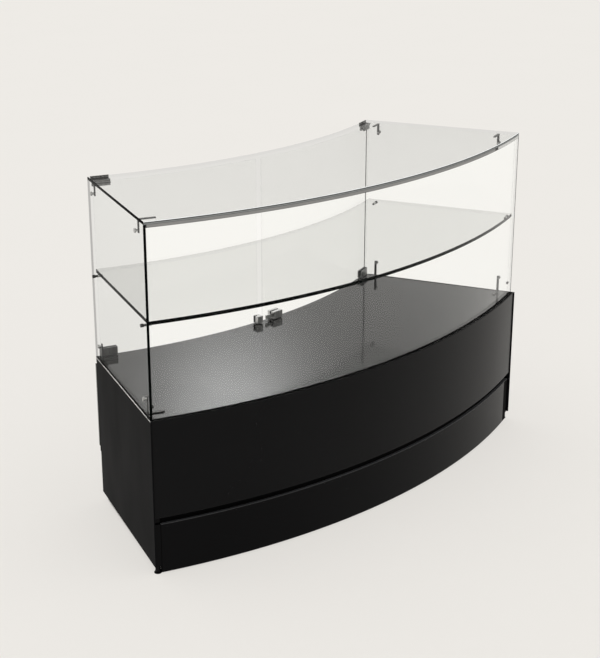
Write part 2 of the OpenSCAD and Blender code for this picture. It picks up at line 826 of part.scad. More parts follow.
module storage_door(side) {
  meet = arc_deg(store_gap / 2);
  color(BLACK) on_side(side) difference() {
    curved_slab(rear_radius, rear_radius + store_t, store_low_z, store_high_z,
      meet, 0, half_angle, -store_edge_t);
    rotate([0, 0, half_angle]) {
      upright(store_pivot_t, store_pivot_r, store_pin_d, store_low_z - eps, store_low_z + store_pin_in);
      upright(store_pivot_t, store_pivot_r, store_pin_d, store_high_z - store_pin_in, store_high_z + eps);
    }
  }
}

module storage_pins(side) {
  reach = store_gap_z + store_bush_in - seat_play;
  color(STEEL) at_end(side) {
    upright(store_pivot_t, store_pivot_r, store_pin_d, store_low_z - reach, store_low_z + store_pin_in);
    upright(store_pivot_t, store_pivot_r, store_pin_d, store_high_z - store_pin_in, store_high_z + reach);
  }
}

module storage_pull(side) {
  z = (store_low_z + store_high_z) / 2;
  a = arc_deg(store_gap / 2 + pull_in);
  color(STEEL) on_side(side) rotate([0, 0, a]) {
    radial_bar(0, rear_radius - pull_l / 2, rear_radius - seat_gap, z, neck_d);
    radial_bar(0, rear_radius - pull_l, rear_radius - pull_l / 2, z, pull_d);
  }
}

side_cladding(LEFT);  // side_cladding_left
side_cladding(RIGHT);  // side_cladding_right
carcass_side(LEFT);  // carcass_side_left
carcass_side(RIGHT);  // carcass_side_right
bottom_board();
centre_partition();
deck();
front_panel();
plinth_front();
plinth_rear();
plinth_legs();
levelling_foot(LEFT, foot_t, foot_front_r, foot_front_top);  // foot_front_left
levelling_foot(RIGHT, foot_t, foot_front_r, foot_front_top);  // foot_front_right
levelling_foot(LEFT, foot_rear_in, foot_rear_r, foot_rear_top);  // foot_rear_left
levelling_foot(RIGHT, foot_rear_in, foot_rear_r, foot_rear_top);  // foot_rear_right
foot_sleeves();
glass_top();
glass_front();
glass_side(LEFT);  // glass_side_left
glass_side(RIGHT);  // glass_side_right
glass_shelf();
light_rail();
light_filler();
light_end_caps();
light_strip();
light_diffuser();
shelf_studs();
stud_sleeves();
bracket_set(LEFT);  // brackets_left
bracket_set(RIGHT);  // brackets_right
bracket_bolts();
corner_connectors();
hinge_plate(LEFT);  // hinge_plate_left
hinge_plate(RIGHT);  // hinge_plate_right
deck_bushes();
plate_bushes();
storage_bushes();
glass_door(LEFT);  // glass_door_left
clamp_low(LEFT);  // clamp_low_left
clamp_high(LEFT);  // clamp_high_left
clamp_screws(LEFT);  // clamp_screws_left
strike();
glass_door(RIGHT);  // glass_door_right
clamp_low(RIGHT);  // clamp_low_right
clamp_high(RIGHT);  // clamp_high_right
clamp_screws(RIGHT);  // clamp_screws_right
lock_body();
lock_plug();
lock_bolt();
storage_door(LEFT);  // storage_door_left
storage_pins(LEFT);  // storage_pins_left
storage_pull(LEFT);  // storage_pull_left
storage_door(RIGHT);  // storage_door_right
storage_pins(RIGHT);  // storage_pins_right
storage_pull(RIGHT);  // storage_pull_right
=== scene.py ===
# %% [markdown]
# # A curved glass display cabinet
# The cabinet is a ring sector in plan: a convex front, a concave rear with doors and two flat ends.
# The packed model already holds every piece at its place, so this lesson only dresses it: it
# rebuilds the large boards and panes with softened edges, and gives every piece a finish made of
# nodes.

# %% Load the frame
import json
import math

import bpy
import numpy as np
from mathutils import Matrix, Vector

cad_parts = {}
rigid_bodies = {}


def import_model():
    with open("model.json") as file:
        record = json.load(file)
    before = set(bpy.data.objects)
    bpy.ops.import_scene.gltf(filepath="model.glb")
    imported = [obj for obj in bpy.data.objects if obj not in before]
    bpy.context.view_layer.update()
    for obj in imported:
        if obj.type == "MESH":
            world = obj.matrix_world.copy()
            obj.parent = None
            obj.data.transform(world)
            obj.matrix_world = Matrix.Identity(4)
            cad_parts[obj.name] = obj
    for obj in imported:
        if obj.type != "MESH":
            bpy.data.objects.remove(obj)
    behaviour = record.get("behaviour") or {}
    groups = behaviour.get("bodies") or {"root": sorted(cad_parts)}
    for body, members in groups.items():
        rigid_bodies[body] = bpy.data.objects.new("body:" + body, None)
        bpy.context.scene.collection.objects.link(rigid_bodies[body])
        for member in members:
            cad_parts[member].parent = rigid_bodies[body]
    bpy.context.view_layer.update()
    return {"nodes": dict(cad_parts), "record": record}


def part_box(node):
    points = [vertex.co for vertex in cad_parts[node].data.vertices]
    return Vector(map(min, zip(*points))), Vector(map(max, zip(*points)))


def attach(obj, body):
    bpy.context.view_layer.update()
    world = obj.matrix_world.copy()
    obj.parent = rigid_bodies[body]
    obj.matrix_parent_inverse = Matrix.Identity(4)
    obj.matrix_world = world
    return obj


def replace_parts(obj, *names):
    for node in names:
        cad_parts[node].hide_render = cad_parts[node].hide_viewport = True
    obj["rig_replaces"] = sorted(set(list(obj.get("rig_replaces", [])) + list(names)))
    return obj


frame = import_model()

scene = bpy.context.scene
scene.view_settings.view_transform = "Standard"

# %% [markdown]
# ## The plan's arc
# All curved pieces share one arc centre, and both ends lie on rays through it. The outer face of an
# end cladding is such a ray, so the line through its front and rear corners meets the middle plane
# x = 0 at the arc centre. These numbers could be written down, but measuring them from the packed
# mesh keeps every later piece true to the frame.

# %% Measure the arc
def node_points(name):
    """All vertices of a packed node as an array of shape (n, 3), in metres."""
    verts = frame["nodes"][name].data.vertices
    flat = np.empty(len(verts) * 3)
    verts.foreach_get("co", flat)
    return flat.reshape(-1, 3)


clad = node_points("side_cladding_right")
front_corner = clad[np.argmax(clad[:, 0])]
rear_corner = clad[np.argmax(clad[:, 1])]
ray_slope = (rear_corner[1] - front_corner[1]) / (rear_corner[0] - front_corner[0])
ARC_Y = front_corner[1] - ray_slope * front_corner[0]
HALF_ANGLE = math.atan2(front_corner[0], ARC_Y - front_corner[1])
print("arc centre y:", round(ARC_Y, 5), "half angle:", round(math.degrees(HALF_ANGLE), 3))

# %% [markdown]
# ## Softened slabs
# A board or a pane never has a perfectly sharp edge, and the thin bright line along an edge is what
# makes it read as a real sheet. A Bevel modifier would do it, but the exact form is simple enough
# to compute: a rounded rectangle is carried along a path, and near both ends it shrinks along a
# quarter circle. The normals are known exactly too, so the broad faces stay perfectly smooth in
# reflections.

# %% Rounded profile
CORNER_STEPS = 4
FLATS = ("top", "inner", "bottom", "outer")
OUTER_COLUMN = len(FLATS) * CORNER_STEPS - 1
corner_turn = np.linspace(0, np.pi / 2, CORNER_STEPS)
PROFILE_ANGLES = (np.arange(len(FLATS))[:, None] * np.pi / 2 + corner_turn).ravel()
PROFILE_NORMAL = np.stack([np.cos(PROFILE_ANGLES), np.sin(PROFILE_ANGLES)], -1)


def rounded_profile(u, v, radius, inset):
    """Rounded rectangle in the (u, v) plane for an array of insets, of shape (rings, points, 2).

    Corner k is centred radius inside its corner, and its arc runs over the quarter turn from
    k * 90 degrees: point = centre + (radius - inset) * (cos a, sin a). The normal is
    (cos a, sin a).
    """
    inner, outer = u[0] + radius, u[1] - radius
    lower, upper = v[0] + radius, v[1] - radius
    centre = np.stack([np.repeat([outer, inner, inner, outer], CORNER_STEPS),
                       np.repeat([upper, upper, lower, lower], CORNER_STEPS)], -1)
    return centre + (radius - inset)[:, None, None] * PROFILE_NORMAL


print("profile points:", len(PROFILE_ANGLES))

# %% [markdown]
# A profile that is carried along a path leaves a grid of points, ring after ring, and the faces
# join neighbours on it. A curve with a bevel shape could draw such a sheet too, but on a grid every
# face knows its row and column, so an edge or an end can have a finish of its own.

# %% Skin over the rings
def column_slots(slots):
    """Finish slot of each profile column: a flat's own, or at a rounded corner the higher of two.

    The corners of the top with the outer and the inner flat may have slots of their own, called
    arris and heel.
    """
    flat = np.array([slots.get(name, 0) for name in FLATS])
    corner = np.maximum(flat, np.roll(flat, 1))
    corner[:2] = slots.get("arris", corner[0]), slots.get("heel", corner[1])
    corners = np.repeat(corner[:, None], CORNER_STEPS - 1, 1)
    return np.concatenate([corners, flat[:, None]], 1).ravel()


def grid_mesh(name, rings, normals, finishes):
    """Closed mesh through rings of shape (m, n, 3), and the grid indices of its faces.

    Face (i, j) joins points j and j + 1 of rings i and i + 1, and a cap closes each end. The
    normals tell which way is out.
    """
    m, n = rings.shape[:2]
    i, j = np.meshgrid(np.arange(m - 1), np.arange(n), indexing="ij")
    k = (j + 1) % n
    quads = np.stack([i * n + j, i * n + k, (i + 1) * n + k, (i + 1) * n + j], -1).reshape(-1, 4)
    caps = [list(range(n))[::-1], list(range((m - 1) * n, m * n))]
    points, out = rings.reshape(-1, 3), normals.reshape(-1, 3)
    first, second, _, last = (points[corner] for corner in quads.T)
    if np.sum(np.cross(second - first, last - first) * out[quads[:, 0]]) < 0:
        quads, caps = quads[:, ::-1], [c[::-1] for c in caps]
    mesh = bpy.data.meshes.new(name)
    mesh.from_pydata(points.tolist(), [], quads.tolist() + caps)
    for finish in finishes:
        mesh.materials.append(finish)
    smooth = np.append(np.ones(len(quads), bool), [False, False])
    mesh.polygons.foreach_set("use_smooth", smooth)
    piece = bpy.data.objects.new(name, mesh)
    scene.collection.objects.link(piece)
    return piece, i, j


def skin(name, rings, normals, finishes, slots, ends):
    """Sheet through rings with exact vertex normals.

    slots names the finish of each flat of the profile, and ends the finishes of the two rounded
    ends. tail in slots counts the last steps of the outer flat that take the second end's finish.
    """
    piece, i, j = grid_mesh(name, rings, normals, finishes)
    last = len(rings) - CORNER_STEPS
    slot = column_slots(slots)[j]
    slot = np.where((i >= last - slots.get("tail", 0)) & (j == OUTER_COLUMN), ends[1], slot)
    slot = np.where(i < CORNER_STEPS - 1, ends[0], np.where(i >= last, ends[1], slot))
    slot = np.append(slot.ravel(), ends).astype(np.int32)
    piece.data.polygons.foreach_set("material_index", slot)
    piece.data.normals_split_custom_set_from_vertices(normals.reshape(-1, 3).tolist())
    piece.data.update()
    return piece


print("slots of the columns, with a finish of its own on top:", column_slots({"top": 1}).tolist())

# %% [markdown]
# Curved pieces run along the arc between two end planes. Such a plane is parallel to a ray of the
# plan, so at radius r a plane held back by t from the ray at angle a0 is met at a0 + asin(t / r).
# Bending a straight board would tilt its ends, and this keeps them true to the cabinet's ends.

# %% Curved slabs
STEP_ALONG, LEAST_STEPS = 0.016, 6
# End rounding: how far each end ring is shrunk and set in, as shares of the edge radius.
FIRST_TURN = 0.12
end_turn = np.linspace(FIRST_TURN, 1, CORNER_STEPS) * np.pi / 2
END_INSET, END_REACH, END_LEAN = 1 - np.sin(end_turn), 1 - np.cos(end_turn), np.cos(end_turn)


def curved_slab(name, ring, start, end, radius, finishes, slots, ends):
    """Rounded slab along the arc. start and end are (angle, inward shift) of the two end planes.

    Ring points: r and z from the profile, angle = (1 - f) * A0(r) + f * A1(r), where A0 and A1 are
    the end planes' angles at that radius, and x = r sin(angle), y = ARC_Y - r cos(angle).
    """
    steps = max(LEAST_STEPS, int((end[0] - start[0]) * ring[1] / STEP_ALONG))
    still = np.zeros(steps)
    inset = np.concatenate([END_INSET, still, END_INSET[::-1]]) * radius
    reach = (np.concatenate([END_REACH, still + 1, END_REACH[::-1]]) * radius)[:, None]
    share = np.pad(np.linspace(0, 1, steps), CORNER_STEPS, mode="edge")[:, None]
    lean = np.concatenate([-END_LEAN, still, END_LEAN[::-1]])[:, None]
    points = rounded_profile(ring[:2], ring[2:], radius, inset)
    r, z = points[..., 0], points[..., 1]
    first = start[0] + np.arcsin((start[1] + reach) / r)
    last = end[0] - np.arcsin((end[1] + reach) / r)
    a = (1 - share) * first + share * last
    rings = np.stack([r * np.sin(a), ARC_Y - r * np.cos(a), z], -1)
    flat = np.sqrt(1 - lean**2)
    out, up = flat * PROFILE_NORMAL[:, 0], flat * PROFILE_NORMAL[:, 1]
    normals = np.stack([out * np.sin(a) + lean * np.cos(a),
                        lean * np.sin(a) - out * np.cos(a), up + 0 * a], -1)
    return skin(name, rings, normals, finishes, slots, ends)


print("end rings:", len(END_INSET), "and steps of about", STEP_ALONG, "m along the arc")

# %% [markdown]
# Flat pieces, the claddings and side panes, run straight along the ray of an end instead. A cube
# with a bevel would do, but the same profile gives all sheets the same kind of edge.

# %% End plates
def end_plate(name, side, depth, ray, levels, radius, finishes, slots, ends):
    """Rounded flat plate on an end. depth is its span inwards, ray its span along the end's ray.

    A point at inward distance t and distance r along the ray lies at
    x = side * (r sin h - t cos h), y = ARC_Y - r cos h - t sin h, with h the half angle.
    """
    c, s = math.cos(HALF_ANGLE), math.sin(HALF_ANGLE)
    place = np.array([[-side * c, -s, 0], [side * s, -c, 0], [0, 0, 1]])
    inset = np.concatenate([END_INSET, END_INSET[::-1]]) * radius
    reach = END_REACH * radius
    along = np.concatenate([ray[0] + reach, ray[1] - reach[::-1]])[:, None]
    lean = np.concatenate([-END_LEAN, END_LEAN[::-1]])[:, None]
    points = rounded_profile(depth, levels, radius, inset)
    t, z = points[..., 0], points[..., 1]
    rings = np.stack([t, along + 0 * t, z], -1) @ place + (0, ARC_Y, 0)
    flat = np.sqrt(1 - lean**2)
    out, up = flat * PROFILE_NORMAL[:, 0], flat * PROFILE_NORMAL[:, 1]
    normals = np.stack([out, lean + 0 * t, up], -1) @ place
    return skin(name, rings, normals, finishes, slots, ends)


print("the ends open by", round(math.degrees(2 * HALF_ANGLE), 2), "degrees")

# %% [markdown]
# ## Writing finishes as expressions
# A finish is a node tree. It could be linked node by node, but wrapping a socket in a small class
# lets the arithmetic of a mask be written as plain Python, and one method makes every other node,
# so a finish reads like a recipe.

# %% Sockets
class Value:
    """A shader socket that takes part in arithmetic: each operator adds one Math node."""

    def __init__(self, finish, socket):
        self.finish, self.socket = finish, socket

    def _math(self, operation, a, b):
        return self.finish.node("ShaderNodeMath", {"operation": operation}, {0: a, 1: b})

    def __add__(self, other):
        return self._math("ADD", self, other)

    def __sub__(self, other):
        return self._math("SUBTRACT", self, other)

    def __rsub__(self, other):
        return self._math("SUBTRACT", other, self)

    def __mul__(self, other):
        return self._math("MULTIPLY", self, other)

    def __pow__(self, other):
        return self._math("POWER", self, other)

    __radd__ = __add__
    __rmul__ = __mul__


print(Value.__doc__)

# %% [markdown]
# The second class holds the tree that is being made. Noise seldom leaves the middle of its range,
# so one of its methods stretches that middle to the two ends that a finish asks for.

# %% Finishes
NOISE_LOW, NOISE_HIGH = 0.3, 0.7


class Finish:
    """The node tree of a material or a world under construction, with one method for all nodes."""

    def __init__(self, holder):
        self.holder = bpy.data.materials.new(holder) if isinstance(holder, str) else holder
        self.holder.use_nodes = True
        self.tree = self.holder.node_tree
        self.tree.nodes.clear()

    def node(self, kind, settings=None, inputs=None, out=0):
        """Adds a node: settings first, then socket values or links. Returns the named output."""
        made = self.tree.nodes.new(kind)
        for key, value in (settings or {}).items():
            setattr(made, key, value)
        for key, value in (inputs or {}).items():
            if isinstance(value, Value):
                self.tree.links.new(value.socket, made.inputs[key])
            else:
                made.inputs[key].default_value = value
        return Value(self, made.outputs[out])

    def noise(self, scale, detail=3.0, stretch=(1, 1, 1), roughness=0.5):
        """Noise between 0 and 1 on object coordinates, stretched along the axes."""
        where = self.node("ShaderNodeTexCoord", out="Object")
        placed = self.node("ShaderNodeMapping", inputs={"Vector": where, "Scale": stretch})
        return self.node("ShaderNodeTexNoise", inputs={
            "Vector": placed, "Scale": scale, "Detail": detail, "Roughness": roughness})

    def span(self, value, low, high):
        """Maps a value from NOISE_LOW..NOISE_HIGH, where noise mostly lies, to low..high."""
        return self.node("ShaderNodeMapRange", inputs={
            "Value": value, "From Min": NOISE_LOW, "From Max": NOISE_HIGH,
            "To Min": low, "To Max": high})

    def blend(self, factor, a, b):
        """Mix of two colours."""
        return self.node("ShaderNodeMix", {"data_type": "RGBA"},
                         {"Factor": factor, 6: a, 7: b}, out=2)

    def bump(self, height, strength, distance):
        """Normal bent by a height."""
        return self.node("ShaderNodeBump", inputs={
            "Height": height, "Strength": strength, "Distance": distance}, out="Normal")

    def close(self, surface):
        """Joins the last shader to the output and hands back the material or world."""
        kind = "World" if isinstance(self.holder, bpy.types.World) else "Material"
        last = self.tree.nodes.new("ShaderNodeOutput" + kind)
        self.tree.links.new(surface.socket, last.inputs["Surface"])
        return self.holder


print("methods of a finish:", [name for name in vars(Finish) if not name.startswith("_")])

# %% [markdown]
# Tones are easiest to read as display colours from 0 to 255, but a shader counts light. The sRGB
# curve turns one into the other: a straight foot, and above it a power of 2.4.

# %% Colours
def rgb(r, g, b):
    """Display colour in 0..255 as a linear RGBA value, by the sRGB curve."""
    c = np.array([r, g, b]) / 255
    linear = np.where(c <= 0.04045, c / 12.92, ((c + 0.055) / 1.055) ** 2.4)
    return (*linear.tolist(), 1.0)


print("display grey 128 is a light of", round(rgb(128, 128, 128)[0], 3))

# %% [markdown]
# ## Black boards
# The base is faced with black sheet. Such a sheet is a deep black with a clear skin: what is seen
# is mostly reflection, weak where it is looked at squarely and strong where the front curves away.
# A plain black would look cut out, so a trace of waviness bends the reflections and fine smears
# change the roughness.

# %% Black finishes
CLOUD_GAIN = 1.35
GRAIN_SHARE, WAVE_DEPTH = 0.05, 0.0006


def black_sheet(name, colour, shine, rough, wave):
    """Black sheet with a cloudy tone, smears between two roughnesses and a faint wave."""
    f = Finish(name)
    smear = f.noise(scale=9, detail=5, stretch=(1, 1, 0.35))
    grain = f.noise(scale=900, detail=2)
    cloud = f.noise(scale=2.5, detail=3)
    lighter = tuple(c * CLOUD_GAIN for c in colour[:3]) + (1,)
    height = f.noise(scale=14, detail=2) + GRAIN_SHARE * grain
    return f.close(f.node("ShaderNodeBsdfPrincipled", inputs={
        "Base Color": f.blend(f.span(cloud, 0, 1), colour, lighter),
        "Roughness": f.span(smear, *rough),
        "Specular IOR Level": shine,
        "Normal": f.bump(height, wave, WAVE_DEPTH)}))


panel_black = black_sheet("panel_black", rgb(8, 8, 9), 0.085, rough=(0.16, 0.24), wave=0.05)
plinth_black = black_sheet("plinth_black", rgb(4, 4, 5), 0.07, rough=(0.18, 0.26), wave=0.05)
deck_black = black_sheet("deck_black", rgb(12, 12, 13), 0.19, rough=(0.05, 0.1), wave=0.03)
cladding_black = black_sheet("cladding_black", rgb(15, 15, 16), 0.005, rough=(0.32, 0.4), wave=0.05)
carcass_black = black_sheet("carcass_black", rgb(14, 14, 15), 0.15, rough=(0.4, 0.55), wave=0.08)
# painted shade: a near-black, rough and hardly shiny, for the places where the groove and the
# corners lie in shade
recess_black = black_sheet("recess_black", rgb(3, 3, 3), 0.02, rough=(0.6, 0.75), wave=0.08)
# painted highlight: a lighter grey for the plinth's upper edge, where it catches a little light
edge_band = black_sheet("edge_band", rgb(56, 56, 57), 0.3, rough=(0.3, 0.42), wave=0.05)
print("black finishes:", [m.name for m in bpy.data.materials if m.name.endswith("_black")])

# %% [markdown]
# ## Glass
# A thin pane hardly bends what is seen through it. It shows what lies behind, and mirrors more and
# more as it is seen at a flatter angle. A glass shader would trace the bending too, but it dims the
# lamps' light. Mixing a clear and a mirror shader by Fresnel lets that light pass straight through.

# %% Glass panes
GLASS_TINT = (0.998, 1.0, 0.996)


def clear_pane(name, face_on, share, mirror, clear):
    """Clear pane: see-through but for a share of F + (1 - F) * (1 - cos)^5 that mirrors.

    F is the mirroring face on, mirror the tone of the reflection, and clear the tone left on what
    is seen through one face, with the faint green of the glass.
    """
    f = Finish(name)
    flatness = f.node("ShaderNodeLayerWeight", inputs={"Blend": 0.5}, out="Facing")
    angle = share * (face_on + (1 - face_on) * flatness**5)
    smear = f.span(f.noise(scale=6, detail=5, stretch=(1, 1, 0.4)), 0.97, 1.03)
    through = f.node("ShaderNodeBsdfTransparent", inputs={
        "Color": (*(tint * clear for tint in GLASS_TINT), 1)})
    shine = f.node("ShaderNodeBsdfGlossy", inputs={
        "Color": (mirror, mirror, mirror, 1), "Roughness": 0.0})
    return f.close(f.node("ShaderNodeMixShader", inputs={
        "Fac": angle * smear, 1: through, 2: shine}))


pane_front = clear_pane("pane_front", face_on=0.004, share=0.7, mirror=1.0, clear=1.0)
pane_door = clear_pane("pane_door", face_on=0.04, share=0.4, mirror=0.6, clear=1.0)
pane_level = clear_pane("pane_level", face_on=0.04, share=0.3, mirror=0.5, clear=0.935)
pane_side = clear_pane("pane_side", face_on=0.04, share=0.3, mirror=0.3, clear=0.965)
print("panes:", [m.name for m in bpy.data.materials if m.name.startswith("pane_")])

# %% [markdown]
# The cut edges collect the green of the whole sheet, so they look almost black. Thick glass with
# colour in its depth would show this by itself, but slowly and with much grain, so the edges get a
# finish of their own: a dark face that is clearer when it is seen from inside the sheet.

# %% Cut edges
GRINDING = {"scale": 60, "detail": 3, "stretch": (1, 1, 14)}
CUT_DARK, CUT_LIGHT = rgb(4, 5, 5), rgb(10, 13, 12)


def cut_edge(name, dark, light, clear_front, clear_back, tint=0.9):
    """Polished cut edge with fine grinding lines, partly clear.

    The clear share is clear_front seen from outside and clear_back from inside the sheet, so
    mostly the edges towards the viewer draw a line. tint is the tone of what shows through.
    """
    f = Finish(name)
    lines = f.noise(**GRINDING)
    cut = f.node("ShaderNodeBsdfPrincipled", inputs={
        "Base Color": f.blend(f.span(lines, 0, 1), dark, light),
        "Roughness": f.span(lines, 0.12, 0.25), "Specular IOR Level": 0.004})
    clear = f.node("ShaderNodeBsdfTransparent", inputs={"Color": (tint, tint, tint, 1)})
    inside = f.node("ShaderNodeNewGeometry", out="Backfacing")
    share = clear_front + (clear_back - clear_front) * inside
    return f.close(f.node("ShaderNodeMixShader", inputs={"Fac": share, 1: cut, 2: clear}))


pane_edge = cut_edge("pane_edge", CUT_DARK, CUT_LIGHT, clear_front=0.0, clear_back=0.95)
pane_foot = cut_edge("pane_foot", CUT_DARK, CUT_LIGHT, clear_front=0.0, clear_back=0.93)
left_rim = cut_edge("left_rim", CUT_DARK, CUT_LIGHT, clear_front=0.0, clear_back=0.6)
right_rim = cut_edge("right_rim", CUT_DARK, CUT_LIGHT, clear_front=0.35, clear_back=0.0)
door_edge = cut_edge("door_edge", rgb(244, 247, 246), rgb(252, 254, 253),
                     clear_front=0.95, clear_back=0.97, tint=1.0)
# painted highlight: a near-white arris for the top's upper edge, where it catches the light
pane_arris = cut_edge("pane_arris", rgb(238, 240, 239), rgb(248, 250, 249),
                      clear_front=0.0, clear_back=0.9)
cut_edges = (pane_edge, pane_foot, left_rim, right_rim, door_edge, pane_arris)
print("cut edges:", [finish.name for finish in cut_edges])

# %% [markdown]
# The top's front edge is dark only near its upper arris. Below that it is painted grey, a painted
# view of the light rail below it as if seen through the glass. The edge could be cut into two
# strips of faces, but a mask on the height keeps it one piece, with a blend as soft as the real
# one.

# %% Front edge of the top
LIP_DARK, LIP_BLEND = 0.0035, 0.0004
lip_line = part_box("glass_top")[1].z - LIP_DARK
f = Finish("lip_edge")
where = f.node("ShaderNodeTexCoord", out="Object")
height = f.node("ShaderNodeSeparateXYZ", inputs={"Vector": where}, out="Z")
above = f.node("ShaderNodeMapRange", inputs={
    "Value": height, "From Min": lip_line - LIP_BLEND, "From Max": lip_line + LIP_BLEND})
lines = f.noise(**GRINDING)
# painted view: this grey stands in for the light rail seen through the edge
grey = f.blend(f.span(lines, 0, 1), rgb(126, 128, 127), rgb(144, 146, 145))
lip_edge = f.close(f.node("ShaderNodeBsdfPrincipled", inputs={
    "Base Color": f.blend(above, grey, rgb(9, 10, 10)), "Roughness": f.span(lines, 0.15, 0.3),
    "Specular IOR Level": 0.01}))
print("the top's front edge is dark above", round(lip_line, 4), "m")

# %% [markdown]
# ## Metal and plastic
# The clamps, brackets and lock are satin steel: fine lines from the brush spread the highlights.
# The light rail is anodised aluminium, a little darker. An image of brush marks would need a layout
# of each piece, while noise that is drawn out along one axis fits any shape. The small plastic
# pieces are plain moulded ones.

# %% Metal and plastic finishes
# How the brush lines run: small numbers draw the noise out along that axis.
UPRIGHT, SHORT, LEVEL = (1, 1, 0.06), (1, 1, 0.3), (0.05, 0.05, 1)


def brushed(name, dark, light, rough, stretch):
    """Brushed metal: lines of tone and roughness drawn out along one axis."""
    f = Finish(name)
    lines = f.noise(scale=240, detail=4, stretch=stretch, roughness=0.65)
    return f.close(f.node("ShaderNodeBsdfPrincipled", inputs={
        "Base Color": f.blend(f.span(lines, 0, 1), dark, light), "Metallic": 1.0,
        "Roughness": f.span(lines, *rough),
        "Normal": f.bump(lines, strength=0.12, distance=0.0003)}))


def moulded(name, dark, light, rough):
    """Moulded plastic: a fine spark-eroded grain."""
    f = Finish(name)
    grain = f.noise(scale=1500, detail=2)
    cloud = f.noise(scale=12, detail=3)
    return f.close(f.node("ShaderNodeBsdfPrincipled", inputs={
        "Base Color": f.blend(f.span(cloud, 0, 1), dark, light),
        "Roughness": f.span(grain, *rough),
        "Normal": f.bump(grain, strength=0.15, distance=0.0002)}))


satin_steel = brushed("satin_steel", rgb(160, 160, 160), rgb(200, 200, 198), (0.26, 0.4), UPRIGHT)
clamp_steel = brushed("clamp_steel", rgb(98, 98, 98), rgb(134, 134, 133), (0.28, 0.42), UPRIGHT)
bracket_steel = brushed("bracket_steel", rgb(58, 58, 58), rgb(84, 84, 83), (0.3, 0.45), UPRIGHT)
bright_trim = brushed("bright_trim", rgb(168, 168, 167), rgb(205, 205, 203), (0.2, 0.3), LEVEL)
rail_metal = brushed("rail_metal", rgb(142, 142, 142), rgb(160, 160, 159), (0.32, 0.45), LEVEL)
black_steel = brushed("black_steel", rgb(18, 18, 19), rgb(32, 32, 33), (0.35, 0.5), SHORT)
dark_plastic = moulded("dark_plastic", rgb(22, 22, 23), rgb(32, 32, 33), (0.45, 0.6))
pale_plastic = moulded("pale_plastic", rgb(196, 196, 193), rgb(210, 210, 207), (0.35, 0.5))
print("finishes:", len(bpy.data.materials))

# %% [markdown]
# ## Boards and panes
# Each large sheet is rebuilt in the place its packed node gives: radii and levels from the node's
# own points, and its end planes from the distances of those points to the cabinet's ends. Typing
# the sizes in again would be shorter, but they would go wrong when the packed model changes.

# %% Measure a node
def polar(points):
    """Radius, angle and height of points. The angle is 0 at the front middle, more to the right."""
    x, y, z = points.T
    return np.hypot(x, y - ARC_Y), np.arctan2(x, ARC_Y - y), z


def inward(points, side):
    """Distance of points inwards from an end's outer face, and their distance along its ray."""
    x, y = points[:, 0] * side, points[:, 1] - ARC_Y
    c, s = math.cos(HALF_ANGLE), math.sin(HALF_ANGLE)
    return -x * c - y * s, x * s - y * c


def ring_of(name):
    """Inner and outer radius and lower and upper level of a curved node, rounded to a micron."""
    radius, _, z = polar(node_points(name))
    return [round(float(v), 6) for v in (radius.min(), radius.max(), z.min(), z.max())]


print("ring of the deck:", ring_of("deck"))

# %% [markdown]
# A sheet's finish and the rounding of its edges differ from piece to piece, but the way it takes
# its node's place is always the same: it stands for the node and moves with the same body. So there
# is one small function for sheets that run from end to end, one for doors, which stop at their
# meeting edge, and one for the flat plates on the ends.

# %% Take the nodes' places
BODIES = frame["record"]["behaviour"]["bodies"]
BODY_OF = {n: body for body, members in BODIES.items() for n in members}


def stand_for(piece, node):
    """The piece replaces a packed node and rides on its body."""
    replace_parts(piece, node)
    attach(piece, BODY_OF[node])


def sheet(node, edge, finishes, slots, ends):
    """Curved sheet that runs between planes parallel to both ends."""
    points = node_points(node)
    left, right = (float(inward(points, side)[0].min()) for side in (-1, 1))
    piece = curved_slab("dressed_" + node, ring_of(node), (-HALF_ANGLE, left),
                        (HALF_ANGLE, right), edge, finishes, slots, ends)
    stand_for(piece, node)


def door(node, side, edge, finishes, slots, ends):
    """Curved door from its meeting edge, on a ray, to a plane parallel to its own end."""
    points = node_points(node)
    angle = polar(points)[1]
    hung = (side * HALF_ANGLE, float(inward(points, side)[0].min()))
    meeting = (float(angle.min() if side > 0 else angle.max()), 0.0)
    start, end = (meeting, hung) if side > 0 else (hung, meeting)
    piece = curved_slab("dressed_" + node, ring_of(node), start, end, edge, finishes, slots, ends)
    stand_for(piece, node)


def plate(node, side, edge, finishes, slots, ends):
    """Flat plate on an end."""
    depth, ray = inward(node_points(node), side)
    low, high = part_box(node)
    piece = end_plate("dressed_" + node, side, (depth.min(), depth.max()), (ray.min(), ray.max()),
                      (low.z, high.z), edge, finishes, slots, ends)
    stand_for(piece, node)


print("bodies:", sorted(set(BODY_OF.values())))

# %% [markdown]
# ## The black base
# The base is a carcass faced all round: a curved panel and a set-back plinth in front, a thin sheet
# on each end, a deck on top and two storage doors at the rear. The dark groove between panel and
# plinth is only a gap with a black board behind it, and its darkness is painted shade: the board,
# the panel's top flat, the plinth's ends and the last stretch of its face at the right end take a
# near-black for the shade there. The plinth's upper edge is painted lighter, a painted highlight
# for the little light it catches. In each call, the dict and the last pair pick finishes from the
# list before them.

# %% Face the base
BOARD_EDGE, PANEL_EDGE, CLAD_EDGE = 0.0009, 0.0022, 0.0006
HANDS = ((-1, "left"), (1, "right"))
# the front panel's top flat is painted shade, a dark line for the shade at its top
sheet("front_panel", PANEL_EDGE, [panel_black, recess_black],
      {"top": 1, "arris": 0, "heel": 0}, (0, 0))
